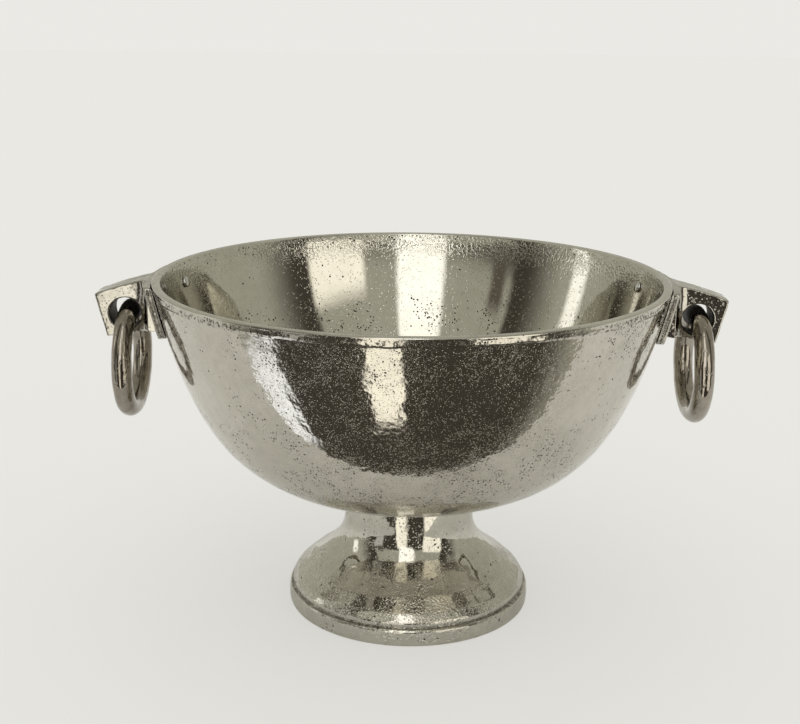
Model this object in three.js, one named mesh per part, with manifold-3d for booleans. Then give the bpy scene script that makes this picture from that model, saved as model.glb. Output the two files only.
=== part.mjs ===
// Footed champagne bowl in nickel-plated cast metal: a deep round bowl on a pedestal foot, with a
// pierced bracket and a loose carrying ring on each side. Millimetres, +Z up. The origin is at the
// centre of the circle that the foot stands on, and +X runs out through the right-hand bracket.

import * as THREE from 'three';
import { mergeVertices } from 'three/addons/utils/BufferGeometryUtils.js';
import Module from 'manifold-3d';

const wasm = await Module();
wasm.setup();

// --- driving dimensions -------------------------------------------------------------------------

const GAP = 0.3; // left between pieces that touch
const WELD = 1e-3; // points closer than this are one point
const TURN_SEGMENTS = 64; // facets round every large turned piece
const MIDDLE_SEGMENTS = 32; // facets round the boss, the brackets' holes and the clamp washer
const SMALL_SEGMENTS = 20; // facets round screws, nuts and the spring washer
const DRILL_SEGMENTS = 16; // facets round the screw holes
const STEPS = { bottom: 4, flank: 14, dome: 10, lining: 8, plate: 8, corner: 4, fine: 200 };
const PAST = 3; // how far a cutting tool runs on past the surface that it cuts
const BLANK = 80; // thickness of the blanks that the brackets' outlines are cut from

const BOWL = {
  rimRadius: 200,
  rimHeight: 264,
  wall: 7,
  rimRound: 1.5, // softens the flat rim's two edges
  seatRadius: 52, // the foot's neck meets the bowl on this circle
  seatHeight: 88,
  bottomHeight: 78, // underside of the bowl on its axis
  bossRadius: 13, // spigot that centres the bowl on the foot
  bossHeight: 73,
  flankPull: [116.5, 110.4], // control points of the flank's curve, as radius and height
  rimPull: [165.3, 109.1],
};

const FOOT = {
  radius: 96,
  bandHeight: 12.5,
  bandChamfer: 1.4,
  baseChamfer: 1,
  domeTop: 70,
  neckRadius: 51.5,
  domePull: [88, 33], // control points of the dome's curve, as radius and height
  neckPull: [50.5, 40.6],
  wall: 5.5,
  ledge: 12, // width of the flat ring that the foot stands on
  ledgeChamfer: 2,
  bossClearance: 2, // the seat under the bowl stops this far short of the boss
  boreLift: 0.6, // and is this much higher there
  lip: 1, // width of the neck's level edge round the bowl
  deckUnderside: 71.7, // flat under the deck, where the washer bears
  deckFlatRadius: 24,
  deckShoulder: [42, 78.5], // the deck's underside rises with the bowl's bottom to this point
  neckInsideTop: 75,
};

const BRACKET = {
  plateThickness: 6,
  plateHalfWidth: 47,
  plateBottom: 221,
  plateTop: 261,
  plateCorner: 6,
  bandMargin: 5, // the band that the plate is cut from starts this far below the plate
  rimMargin: 1, // and stops this far below the bowl's rim
  rootDepth: 12, // the lug's blank reaches this far back into the bowl before it is cut away
  lugHalfWidth: 13,
  rootHalfWidth: 23,
  flareStart: 203, // the lug starts to widen towards its root inside this distance from the axis
  flareEnd: 214,
  flareBend: 204, // where the two straight sides of the flare would meet
  tipMargin: 5,
  tip: [245.5, 248.5],
  toe: [236.5, 215],
  heel: [196, 222],
  crown: [206, 260.5],
  crownPull: [230, 255],
  holeCentre: [221.5, 233.6],
  holeRadius: 12.5,
};

const RING = {
  meanRadius: 38.8,
  barRadius: 7.7,
  pivotReach: { left: 220.2, right: 223 }, // each ring lies a little to one side in its hole
  pivotHeight: 234.1, // centre of the bar where it lies in the bracket's hole
  sides: 12,
  steps: 44,
};

const SCREW = {
  angle: THREE.MathUtils.degToRad(12.5), // either side of the bracket's centre plane
  height: 247.6,
  shankRadius: 2.5,
  headRadius: 4.5,
  headHeight: 2.8,
  headEdge: 0.8, // straight part of the head, under its dome
  headSteps: 4,
  endChamfer: 0.5,
  slotWidth: 1.1,
  slotDepth: 1.2,
  slotOverrun: 1,
  slotLift: 0.05,
  grip: 11.5, // from under the head to the shank's end
};

const STUD = { radius: 4.85, top: 81.2, bottom: 54, chamfer: 1, socketDepth: 8.5 };
const WASHER = { radius: 22, bore: 5.4, thickness: 3 };
const SPRING_WASHER = { radius: 9, bore: 5.2, thickness: 2.2, split: 1.6 };
const NUT = { acrossFlats: 17, height: 8, bore: 5.15 };

// --- finishes -----------------------------------------------------------------------------------

const polished = () => new THREE.MeshStandardMaterial({ color: '#b9b6a8', roughness: 0.22, metalness: 1 });
const grained = () => new THREE.MeshStandardMaterial({ color: '#b3b0a6', roughness: 0.34, metalness: 1 });
const satin = () => new THREE.MeshStandardMaterial({ color: '#a5a29a', roughness: 0.42, metalness: 1 });
const dulled = () => new THREE.MeshStandardMaterial({ color: '#8b8478', roughness: 0.36, metalness: 1 });
const steel = () => new THREE.MeshStandardMaterial({ color: '#a8a9aa', roughness: 0.38, metalness: 1 });

// --- solids -------------------------------------------------------------------------------------

/** Turns a closed geometry into a manifold solid. */
function solid(geometry) {
  geometry.deleteAttribute('normal');
  geometry.deleteAttribute('uv');
  const merged = mergeVertices(geometry, WELD);
  const index = merged.index.array;
  const triVerts = [];
  for (let i = 0; i < index.length; i += 3) {
    const [a, b, c] = [index[i], index[i + 1], index[i + 2]];
    if (a !== b && b !== c && c !== a) triVerts.push(a, b, c);
  }
  const mesh = new wasm.Mesh({
    numProp: 3,
    vertProperties: new Float32Array(merged.attributes.position.array),
    triVerts: new Uint32Array(triVerts),
  });
  return new wasm.Manifold(mesh);
}

/** Turns a manifold solid back into a named mesh. */
function piece(name, body, material) {
  const { vertProperties, triVerts } = body.getMesh();
  const geometry = new THREE.BufferGeometry();
  geometry.setAttribute('position', new THREE.BufferAttribute(new Float32Array(vertProperties), 3));
  geometry.setIndex(new THREE.BufferAttribute(new Uint32Array(triVerts), 1));
  geometry.computeVertexNormals();
  const mesh = new THREE.Mesh(geometry, material);
  mesh.name = name;
  return mesh;
}

/** Revolves a profile of [radius, height] points about +Z. The profile runs anticlockwise. */
function turned(profile, segments = TURN_SEGMENTS) {
  const points = profile.map(([radius, height]) => new THREE.Vector2(radius, height));
  const onAxis = profile[0][0] === 0 && profile.at(-1)[0] === 0;
  if (!onAxis) points.push(points[0].clone());
  return solid(new THREE.LatheGeometry(points, segments).rotateX(Math.PI / 2));
}

/** A plain round bar along +Z, from one height to another. */
function bar(radius, low, high, segments = SMALL_SEGMENTS) {
  return turned([[0, low], [radius, low], [radius, high], [0, high]], segments);
}

/** Samples a flat curve as [radius, height] points, moved sideways by an offset. */
function along(curve, count, offset = 0) {
  const points = [];
  for (let i = 0; i <= count; i += 1) {
    const point = curve.getPointAt(i / count);
    const tangent = curve.getTangentAt(i / count);
    points.push([point.x + tangent.y * offset, point.y - tangent.x * offset]);
  }
  return points;
}

const vec = ([x, y]) => new THREE.Vector2(x, y);

// --- bowl ---------------------------------------------------------------------------------------

const flank = new THREE.CubicBezierCurve(
  new THREE.Vector2(BOWL.seatRadius, BOWL.seatHeight),
  vec(BOWL.flankPull),
  vec(BOWL.rimPull),
  new THREE.Vector2(BOWL.rimRadius, BOWL.rimHeight),
);

// The bowl's bottom leaves its axis level and meets the flank without a kink.
const seatSlope = flank.getTangentAt(0);
const bottomReach = (BOWL.seatHeight - BOWL.bottomHeight) * (seatSlope.x / seatSlope.y);
const bottom = new THREE.QuadraticBezierCurve(
  new THREE.Vector2(0, BOWL.bottomHeight),
  new THREE.Vector2(BOWL.seatRadius - bottomReach, BOWL.bottomHeight),
  new THREE.Vector2(BOWL.seatRadius, BOWL.seatHeight),
);

/** Radius of the bowl's outer wall at a height, moved outwards by an offset. */
function wallRadius(height, offset = 0) {
  const points = along(flank, STEPS.fine, offset);
  const found = points.findIndex(([, z]) => z >= height);
  const above = found < 1 ? points.length - 1 : found;
  const [r0, z0] = points[above - 1];
  const [r1, z1] = points[above];
  return r0 + ((r1 - r0) * (height - z0)) / (z1 - z0);
}

/** Puts a solid built along +Z on a bracket screw's axis, with +Z pointing out of the bowl. */
function onScrewAxis(body, side, bearing) {
  const step = 4; // the wall's lean is measured over this much height, up and down
  const rise = wallRadius(SCREW.height + step) - wallRadius(SCREW.height - step);
  const lean = Math.atan2(rise, 2 * step);
  const place = new THREE.Matrix4()
    .makeRotationZ(bearing + (side > 0 ? 0 : Math.PI))
    .multiply(new THREE.Matrix4().makeTranslation(wallRadius(SCREW.height, -BOWL.wall), 0, SCREW.height))
    .multiply(new THREE.Matrix4().makeRotationY(Math.PI / 2 + lean));
  return body.transform(place.elements);
}

const SIDES = [['left', -1], ['right', 1]];
const BEARINGS = [['front', -1], ['back', 1]];

function makeBowl() {
  const { rimHeight, rimRadius, rimRound: round, wall, bossRadius, bossHeight, bottomHeight } = BOWL;
  const outer = [...along(bottom, STEPS.bottom), ...along(flank, STEPS.flank).slice(1)];
  const inner = [...along(bottom, STEPS.bottom, -wall), ...along(flank, STEPS.flank, -wall).slice(1)];
  const rimInside = rimRadius - wall;
  const rim = [
    [wallRadius(rimHeight - round), rimHeight - round],
    [rimRadius - round, rimHeight],
    [rimInside + round, rimHeight],
    [rimInside, rimHeight - round],
  ];
  const profile = [...outer.slice(0, -1), ...rim, ...inner.slice(0, -1).reverse()];
  let bowl = turned(profile);
  const socketTop = bossHeight + STUD.socketDepth;
  bowl = bowl.add(bar(bossRadius, bossHeight, bottomHeight + wall / 2, MIDDLE_SEGMENTS));
  bowl = bowl.subtract(bar(STUD.radius + GAP, bossHeight - PAST, socketTop));
  for (const [, side] of SIDES) {
    for (const [, end] of BEARINGS) {
      const drill = bar(SCREW.shankRadius + GAP, -PAST, wall + PAST, DRILL_SEGMENTS);
      bowl = bowl.subtract(onScrewAxis(drill, side, end * side * SCREW.angle));
    }
  }
  return piece('bowl', bowl, polished());
}

// --- foot ---------------------------------------------------------------------------------------

function makeFoot() {
  const dome = new THREE.CubicBezierCurve(
    new THREE.Vector2(FOOT.radius - FOOT.bandChamfer, FOOT.bandHeight + FOOT.bandChamfer),
    vec(FOOT.domePull),
    vec(FOOT.neckPull),
    new THREE.Vector2(FOOT.neckRadius, FOOT.domeTop),
  );
  const lining = along(dome, STEPS.lining, -FOOT.wall);
  const inside = lining.filter(([, z]) => z > FOOT.bandHeight && z < FOOT.neckInsideTop);
  const seatStart = BOWL.bossRadius + FOOT.bossClearance;
  const seatEnd = FOOT.neckRadius - FOOT.lip;
  const seat = along(bottom, STEPS.lining, GAP).filter(([r]) => r > seatStart && r < seatEnd);
  const bore = BOWL.bossRadius + GAP;
  const seatAtBore = BOWL.bottomHeight - GAP + FOOT.boreLift;
  const seatEdge = BOWL.seatHeight - 2 * GAP;
  const profile = [
    [FOOT.radius - FOOT.ledge, 0],
    [FOOT.radius - FOOT.baseChamfer, 0],
    [FOOT.radius, FOOT.baseChamfer],
    [FOOT.radius, FOOT.bandHeight],
    ...along(dome, STEPS.dome),
    [FOOT.neckRadius, seatEdge],
    ...seat.reverse(),
    [bore, seatAtBore],
    [bore, FOOT.deckUnderside],
    [FOOT.deckFlatRadius, FOOT.deckUnderside],
    FOOT.deckShoulder,
    ...inside.reverse(),
    [FOOT.radius - FOOT.ledge + FOOT.ledgeChamfer, FOOT.bandHeight - FOOT.ledgeChamfer],
  ];
  return piece('foot', turned(profile), grained());
}

// --- brackets -----------------------------------------------------------------------------------

/** Heights in even steps from below a level up to just under the bowl's rim. */
function heightsFrom(low) {
  const start = low - BRACKET.bandMargin;
  const step = (BOWL.rimHeight - BRACKET.rimMargin - start) / STEPS.plate;
  return Array.from({ length: STEPS.plate + 1 }, (_, i) => start + i * step);
}

/** A flat outline extruded along +Z and centred on the plane that it is drawn in. */
function slab(shape, thickness, curveSegments = STEPS.plate) {
  const settings = { depth: thickness, bevelEnabled: false, curveSegments };
  const geometry = new THREE.ExtrudeGeometry(shape, settings);
  return geometry.translate(0, 0, -thickness / 2);
}

/** Curved mounting plate: a band round the bowl's wall, trimmed to a rounded rectangle. */
function bracketPlate() {
  const { plateHalfWidth: w, plateBottom: low, plateTop: high, plateCorner: c, plateThickness } = BRACKET;
  const face = (offset) => heightsFrom(low).map((height) => [wallRadius(height, offset), height]);
  const band = turned([...face(GAP + plateThickness), ...face(GAP).reverse()]);
  const outline = new THREE.Shape()
    .moveTo(-w + c, low)
    .lineTo(w - c, low)
    .quadraticCurveTo(w, low, w, low + c)
    .lineTo(w, high - c / 2)
    .quadraticCurveTo(w, high, w - c / 2, high)
    .lineTo(-w + c / 2, high)
    .quadraticCurveTo(-w, high, -w, high - c / 2)
    .lineTo(-w, low + c)
    .quadraticCurveTo(-w, low, -w + c, low);
  const window = slab(outline, BLANK, STEPS.corner).rotateX(Math.PI / 2).rotateZ(Math.PI / 2);
  return band.intersect(solid(window.translate(BOWL.rimRadius, 0, 0)));
}

/** Pierced lug: its side outline and its flared plan outline, each extruded, and what they share. */
function bracketLug() {
  const { lugHalfWidth: w, rootHalfWidth: root, flareStart, flareBend, flareEnd } = BRACKET;
  const { tip, toe, heel, crown, crownPull, plateTop } = BRACKET;
  const rear = heel[0] - BRACKET.rootDepth;
  const front = tip[0] + BRACKET.tipMargin;
  const side = new THREE.Shape()
    .moveTo(rear, heel[1])
    .lineTo(...heel)
    .lineTo(...toe)
    .lineTo(...tip)
    .quadraticCurveTo(...crownPull, ...crown)
    .lineTo(rear, plateTop)
    .lineTo(rear, heel[1]);
  const plan = new THREE.Shape()
    .moveTo(rear, -root)
    .lineTo(flareStart, -root)
    .quadraticCurveTo(flareBend, -w, flareEnd, -w)
    .lineTo(front, -w)
    .lineTo(front, w)
    .lineTo(flareEnd, w)
    .quadraticCurveTo(flareBend, w, flareStart, root)
    .lineTo(rear, root)
    .lineTo(rear, -root);
  const sideSlab = slab(side, 3 * root).rotateX(Math.PI / 2);
  const planSlab = slab(plan, BLANK).translate(0, 0, (plateTop + toe[1]) / 2);
  const midPlate = GAP + BRACKET.plateThickness / 2;
  const behind = heightsFrom(toe[1]).map((height) => [wallRadius(height, midPlate), height]);
  const core = turned([[0, behind[0][1]], ...behind, [0, behind.at(-1)[1]]]);
  return solid(sideSlab).intersect(solid(planSlab)).subtract(core);
}

function makeBracket(name, side) {
  let bracket = bracketPlate().add(bracketLug());
  const [holeX, holeZ] = BRACKET.holeCentre;
  const { holeRadius } = BRACKET;
  const hole = new THREE.CylinderGeometry(holeRadius, holeRadius, BLANK, MIDDLE_SEGMENTS);
  bracket = bracket.subtract(solid(hole.translate(holeX, 0, holeZ)));
  for (const [, end] of BEARINGS) {
    const tapped = bar(SCREW.shankRadius + GAP, 0, SCREW.grip + GAP, DRILL_SEGMENTS);
    bracket = bracket.subtract(onScrewAxis(tapped, 1, end * SCREW.angle));
  }
  const turn = new THREE.Matrix4().makeRotationZ(side > 0 ? 0 : Math.PI);
  return piece(name, bracket.transform(turn.elements), satin());
}

// --- rings --------------------------------------------------------------------------------------

function makeRing(word, side) {
  const loop = new THREE.TorusGeometry(RING.meanRadius, RING.barRadius, RING.sides, RING.steps);
  loop.rotateY(Math.PI / 2);
  loop.translate(side * RING.pivotReach[word], 0, RING.pivotHeight - RING.meanRadius);
  return piece(`ring_${word}`, solid(loop), dulled());
}

// --- fasteners ----------------------------------------------------------------------------------

/** Slotted round-head screw with its head inside the bowl and its end in the bracket's plate. */
function makeBracketScrew(name, side, bearing) {
  const { shankRadius, headRadius, headHeight, headEdge, headSteps, endChamfer, grip } = SCREW;
  const { slotWidth, slotDepth, slotOverrun, slotLift } = SCREW;
  const dome = [];
  for (let i = 0; i <= headSteps; i += 1) {
    const angle = (i / headSteps) * (Math.PI / 2);
    const rise = headEdge + (headHeight - headEdge) * Math.cos(angle);
    dome.push([headRadius * Math.sin(angle), -GAP - rise]);
  }
  const profile = [
    ...dome,
    [headRadius, -GAP],
    [shankRadius, -GAP],
    [shankRadius, grip - endChamfer],
    [shankRadius - endChamfer, grip],
    [0, grip],
  ];
  const slot = new THREE.BoxGeometry(2 * (headRadius + slotOverrun), slotWidth, slotDepth);
  slot.translate(0, 0, -GAP - headHeight + slotDepth / 2 - slotLift);
  const screw = turned(profile, SMALL_SEGMENTS).subtract(solid(slot));
  return piece(name, onScrewAxis(screw, side, bearing), steel());
}

function makeStud() {
  const { radius, top, bottom: low, chamfer } = STUD;
  const profile = [
    [0, low],
    [radius - chamfer, low],
    [radius, low + chamfer],
    [radius, top - chamfer],
    [radius - chamfer, top],
    [0, top],
  ];
  return piece('foot_stud', turned(profile, SMALL_SEGMENTS), steel());
}

/** A flat ring round the stud that hangs down from a height. */
function collar(outer, bore, top, thickness, segments) {
  const profile = [[bore, top - thickness], [outer, top - thickness], [outer, top], [bore, top]];
  return turned(profile, segments);
}

const washerTop = FOOT.deckUnderside - GAP;
const springWasherTop = washerTop - WASHER.thickness - GAP;
const nutTop = springWasherTop - SPRING_WASHER.thickness - GAP;

function makeWasher() {
  const { radius, bore, thickness } = WASHER;
  const body = collar(radius, bore, washerTop, thickness, MIDDLE_SEGMENTS);
  return piece('foot_clamp_washer', body, steel());
}

function makeSpringWasher() {
  const { radius, bore, thickness, split } = SPRING_WASHER;
  const cut = new THREE.BoxGeometry(radius, split, 3 * thickness);
  cut.rotateX(Math.PI / 6).translate((bore + radius) / 2, 0, springWasherTop - thickness / 2);
  const body = collar(radius, bore, springWasherTop, thickness, SMALL_SEGMENTS);
  return piece('foot_spring_washer', body.subtract(solid(cut)), steel());
}

function makeNut() {
  const corner = NUT.acrossFlats / 2 / Math.cos(Math.PI / 6);
  const hexagon = collar(corner, 0, nutTop, NUT.height, 6);
  const body = hexagon.subtract(bar(NUT.bore, nutTop - NUT.height - PAST, nutTop + PAST));
  return piece('foot_nut', body, steel());
}

// --- assembly -----------------------------------------------------------------------------------

const champagneBowl = new THREE.Group();
champagneBowl.add(makeBowl(), makeFoot(), makeStud(), makeWasher(), makeSpringWasher(), makeNut());
for (const [word, side] of SIDES) {
  champagneBowl.add(makeBracket(`bracket_${word}`, side), makeRing(word, side));
  for (const [place, end] of BEARINGS) {
    champagneBowl.add(makeBracketScrew(`screw_${word}_${place}`, side, end * side * SCREW.angle));
  }
}

export default champagneBowl;
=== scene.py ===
import math

import bmesh
import bpy
from mathutils import Matrix, Vector, noise
from mathutils.geometry import interpolate_bezier


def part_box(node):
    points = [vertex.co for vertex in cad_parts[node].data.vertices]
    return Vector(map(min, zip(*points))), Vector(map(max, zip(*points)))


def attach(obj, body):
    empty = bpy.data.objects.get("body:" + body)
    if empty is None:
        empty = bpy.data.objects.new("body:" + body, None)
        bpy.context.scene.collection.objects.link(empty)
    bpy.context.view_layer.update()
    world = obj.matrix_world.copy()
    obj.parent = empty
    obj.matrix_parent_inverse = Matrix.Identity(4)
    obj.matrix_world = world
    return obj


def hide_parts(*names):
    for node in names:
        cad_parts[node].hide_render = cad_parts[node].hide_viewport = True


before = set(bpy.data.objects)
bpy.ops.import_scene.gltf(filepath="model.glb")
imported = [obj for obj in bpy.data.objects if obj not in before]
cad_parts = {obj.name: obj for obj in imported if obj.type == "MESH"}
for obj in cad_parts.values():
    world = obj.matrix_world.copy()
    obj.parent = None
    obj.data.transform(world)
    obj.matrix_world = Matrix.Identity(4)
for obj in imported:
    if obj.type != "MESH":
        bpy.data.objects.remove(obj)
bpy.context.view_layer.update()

# Footed champagne bowl in nickel-plated cast metal. Metres, +Z up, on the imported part's frame.

MM = 0.001
TURN = 2 * math.pi

RIM_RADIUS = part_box("bowl")[1].x
RIM_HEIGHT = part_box("bowl")[1].z
BASE_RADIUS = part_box("foot")[1].x
NECK_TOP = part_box("foot")[1].z

# --- maker's measures ----------------------------------------------------------------------------

WALL = 7 * MM
SEAT = (52 * MM, 88 * MM)  # radius and height where the foot's neck meets the bowl
BOTTOM_HEIGHT = 78 * MM
BOSS_RADIUS = 13 * MM
BOSS_HEIGHT = 73 * MM
FLANK_PULLS = ((116.5 * MM, 110.4 * MM), (165.3 * MM, 109.1 * MM))

DOME_START = (94.6 * MM, 13.9 * MM)
DOME_PULLS = ((88 * MM, 33 * MM), (50.5 * MM, 40.6 * MM))
DOME_END = (51.5 * MM, 70 * MM)
FOOT_WALL = 5.5 * MM
DECK_HEIGHT = 71.7 * MM  # flat under the foot's deck, where the washer bears

RING_RADIUS = 38.8 * MM
BAR_RADIUS = 7.7 * MM

PLATE_OUT = (0.3 * MM, 6.3 * MM)  # inner and outer face of the plate, out from the bowl's wall
PLATE_END = 47 * MM
PLATE_LOW = 221 * MM
PLATE_HIGH = 261 * MM
HOLE = (221.5 * MM, 233.6 * MM)  # reach and height of the hole through the bracket
HOLE_RADIUS = 12.5 * MM

SCREW_TURN = math.radians(12.5)  # bearing of a screw from its bracket's middle
SCREW_HEIGHT = 247.6 * MM
SCREW_HEAD = (4.5 * MM, 2.8 * MM)  # radius and rise of the round head
SCREW_HEAD_EDGE = 0.7 * MM
SCREW_SHANK = (2.5 * MM, 11.5 * MM)  # radius and end, out from the bowl's inner face
SCREW_SLOT = (12 * MM, 1.1 * MM, 1.3 * MM)
SLOT_TURNS = {"front": math.radians(40), "back": math.radians(8)}
THREAD_PITCH = 1.5 * MM
THREAD_DEPTH = 0.85 * MM

# The dome's turning marks, each (height, depth in mm).
FOOT_RIDGES = ((22 * MM, 0.45), (31 * MM, 0.4))
RIDGE_SPREAD = 1.9 * MM
LIP_BAND = 6.2  # mm from the rim down to the ragged edge of the proud band
LIP_PROUD = 0.7  # mm that the band stays inside the rim's radius

# Casting waves, each (depth in mm, length, seed).
BOWL_INSIDE_WAVES = ((0.06, 60 * MM, 3.1), (0.012, 18 * MM, 5.3))
BOWL_OUTSIDE_WAVES = ((0.16, 42 * MM, 1.3), (0.08, 16 * MM, 7.7))
LIP_EDGE_WAVES = ((1.1, 16 * MM, 2.2), (0.5, 6 * MM, 4.4))
FOOT_WAVES = ((0.3, 24 * MM, 9.1), (0.12, 9 * MM, 8.2))
BRACKET_WAVES = ((0.32, 9 * MM, 6.1), (0.12, 4 * MM, 2.7))
RING_SEEDS = {"left": 2.0, "right": 5.0}

BOWL_STEPS, FOOT_STEPS, RING_STEPS, FASTENER_STEPS = 384, 320, 160, 48
BAR_SEGMENTS = 32
MERGE = 0.002 * MM
CAD_MERGE = 0.01 * MM


# --- curves --------------------------------------------------------------------------------------


def pulled(start, pulls, end, count=240):
    """A cubic curve in the (radius, height) plane, as many close points."""
    ends = [Vector((r, z, 0)) for r, z in (start, *pulls, end)]
    return [(p.x, p.y) for p in interpolate_bezier(ends[0], ends[1], ends[2], ends[3], count)]


def offset(points, distance):
    """The same line moved sideways, outwards where the distance is positive."""
    moved = []
    for i, (r, z) in enumerate(points):
        r0, z0 = points[max(i - 1, 0)]
        r1, z1 = points[min(i + 1, len(points) - 1)]
        length = math.hypot(r1 - r0, z1 - z0)
        moved.append((r + (z1 - z0) / length * distance, z - (r1 - r0) / length * distance))
    return moved


def evenly(points, spacing):
    """The same line with its points an equal distance apart."""
    travel = [0.0]
    for (r0, z0), (r1, z1) in zip(points, points[1:]):
        travel.append(travel[-1] + math.hypot(r1 - r0, z1 - z0))
    count = max(2, round(travel[-1] / spacing))
    even, i = [], 0
    for step in range(count + 1):
        want = travel[-1] * step / count
        while i < len(points) - 2 and travel[i + 1] < want:
            i += 1
        part = (want - travel[i]) / (travel[i + 1] - travel[i])
        (r0, z0), (r1, z1) = points[i], points[i + 1]
        even.append((r0 + (r1 - r0) * part, z0 + (z1 - z0) * part))
    return even


FLANK = pulled(SEAT, FLANK_PULLS, (RIM_RADIUS, RIM_HEIGHT))
slope = (FLANK[1][1] - FLANK[0][1]) / (FLANK[1][0] - FLANK[0][0])
reach = SEAT[0] - (SEAT[1] - BOTTOM_HEIGHT) / slope
BOTTOM_PULLS = (
    (reach * 2 / 3, BOTTOM_HEIGHT),
    (SEAT[0] + (reach - SEAT[0]) * 2 / 3, SEAT[1] + (BOTTOM_HEIGHT - SEAT[1]) * 2 / 3),
)
BOTTOM = pulled((0, BOTTOM_HEIGHT), BOTTOM_PULLS, SEAT)
DOME = pulled(DOME_START, DOME_PULLS, DOME_END)


def wall_radius(height, out=0.0):
    """Radius of the bowl's outside at a height."""
    line = offset(FLANK, out)
    for (r0, z0), (r1, z1) in zip(line, line[1:]):
        if z1 >= height:
            return r0 + (r1 - r0) * (height - z0) / (z1 - z0)
    return line[-1][0]


def ease(value, low, high):
    """0 below low, 1 above high, with a smooth rise between."""
    t = min(1.0, max(0.0, (value - low) / (high - low)))
    return t * t * (3 - 2 * t)


def waves(point, length, seed):
    """Smooth noise from -1 to 1 whose lumps are about this long."""
    return noise.noise(Vector(point) / length + Vector((seed, seed * 1.7, -seed)))


def layered(point, layers):
    """The sum of several waves, in mm."""
    return sum(depth * waves(point, length, seed) for depth, length, seed in layers)


# --- pieces --------------------------------------------------------------------------------------


def settle(name, shape, body, finishes, node):
    """Makes a piece from a bmesh and seats it."""
    mesh = bpy.data.meshes.new(name)
    shape.to_mesh(mesh)
    shape.free()
    return seat_mesh(name, mesh, body, finishes, node)


def seat_mesh(name, mesh, body, finishes, node, smooth=True):
    """Makes a piece from a mesh. It rides on a body and stands for one CAD node."""
    mesh.name = name
    for finish in finishes:
        mesh.materials.append(finish)
    for face in mesh.polygons:
        face.use_smooth = smooth
    piece = bpy.data.objects.new(name, mesh)
    bpy.context.scene.collection.objects.link(piece)
    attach(piece, body)
    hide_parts(node)
    return piece


def turned(profile, steps, closed=False):
    """Spins a line of (radius, height) points about +Z."""
    shape = bmesh.new()
    line = [shape.verts.new((r, 0, z)) for r, z in profile]
    edges = [shape.edges.new(pair) for pair in zip(line, line[1:])]
    if closed:
        edges.append(shape.edges.new((line[-1], line[0])))
    bmesh.ops.spin(
        shape, geom=line + edges, cent=(0, 0, 0), axis=(0, 0, 1), dvec=(0, 0, 0),
        angle=TURN, steps=steps, use_merge=True, use_duplicate=False,
    )
    bmesh.ops.remove_doubles(shape, verts=shape.verts, dist=MERGE)
    bmesh.ops.recalc_face_normals(shape, faces=shape.faces)
    shape.normal_update()
    return shape


def baked(shape, *modifiers):
    """A bmesh with modifiers applied, as a new mesh. Each modifier is (kind, settings)."""
    mesh = bpy.data.meshes.new("blank")
    shape.to_mesh(mesh)
    shape.free()
    holder = bpy.data.objects.new("blank", mesh)
    bpy.context.scene.collection.objects.link(holder)
    for kind, settings in modifiers:
        modifier = holder.modifiers.new(kind, kind)
        for key, value in settings.items():
            setattr(modifier, key, value)
    graph = bpy.context.evaluated_depsgraph_get()
    result = bpy.data.meshes.new_from_object(holder.evaluated_get(graph))
    result.materials.clear()
    bpy.data.objects.remove(holder)
    bpy.data.meshes.remove(mesh)
    return result


def merged_copy(node):
    """A bmesh of a CAD node with its loose triangles joined up."""
    shape = bmesh.new()
    shape.from_mesh(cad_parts[node].data)
    bmesh.ops.remove_doubles(shape, verts=shape.verts, dist=CAD_MERGE)
    return shape


# --- shader helpers ------------------------------------------------------------------------------


def add(tree, kind, inputs=None, **settings):
    """Adds a node. Inputs are values or the sockets that feed them."""
    node = tree.nodes.new(kind)
    for key, value in settings.items():
        setattr(node, key, value)
    for key, value in (inputs or {}).items():
        if isinstance(value, bpy.types.NodeSocket):
            tree.links.new(value, node.inputs[key])
        else:
            node.inputs[key].default_value = value
    return node


def maths(tree, operation, a, b=0.0, c=0.0, clamp=False):
    node = add(tree, "ShaderNodeMath", {0: a, 1: b, 2: c}, operation=operation, use_clamp=clamp)
    return node.outputs[0]


def spread(tree, value, low, high, out_low=0.0, out_high=1.0):
    """Maps a value smoothly from one range to another, held at the ends."""
    node = add(tree, "ShaderNodeMapRange", {
        "Value": value, "From Min": low, "From Max": high, "To Min": out_low, "To Max": out_high,
    }, interpolation_type="SMOOTHSTEP")
    return node.outputs["Result"]


def blend(tree, part, a, b):
    node = add(tree, "ShaderNodeMix", data_type="RGBA", blend_type="MIX")
    for socket, value in ((node.inputs[0], part), (node.inputs[6], a), (node.inputs[7], b)):
        if isinstance(value, bpy.types.NodeSocket):
            tree.links.new(value, socket)
        else:
            socket.default_value = value
    return node.outputs[2]


def group(name, inputs, outputs):
    """An empty shader group with float or vector inputs and float outputs."""
    tree = bpy.data.node_groups.new(name, "ShaderNodeTree")
    for label, value in inputs:
        kind = "NodeSocketVector" if value is None else "NodeSocketFloat"
        socket = tree.interface.new_socket(name=label, in_out="INPUT", socket_type=kind)
        if value is not None:
            socket.default_value = value
    for label in outputs:
        tree.interface.new_socket(name=label, in_out="OUTPUT", socket_type="NodeSocketFloat")
    return tree, tree.nodes.new("NodeGroupInput").outputs, tree.nodes.new("NodeGroupOutput").inputs


def use(tree, made, inputs):
    """Places a shader group and gives its outputs."""
    return add(tree, "ShaderNodeGroup", inputs, node_tree=made).outputs


# --- shared effects ------------------------------------------------------------------------------


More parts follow.
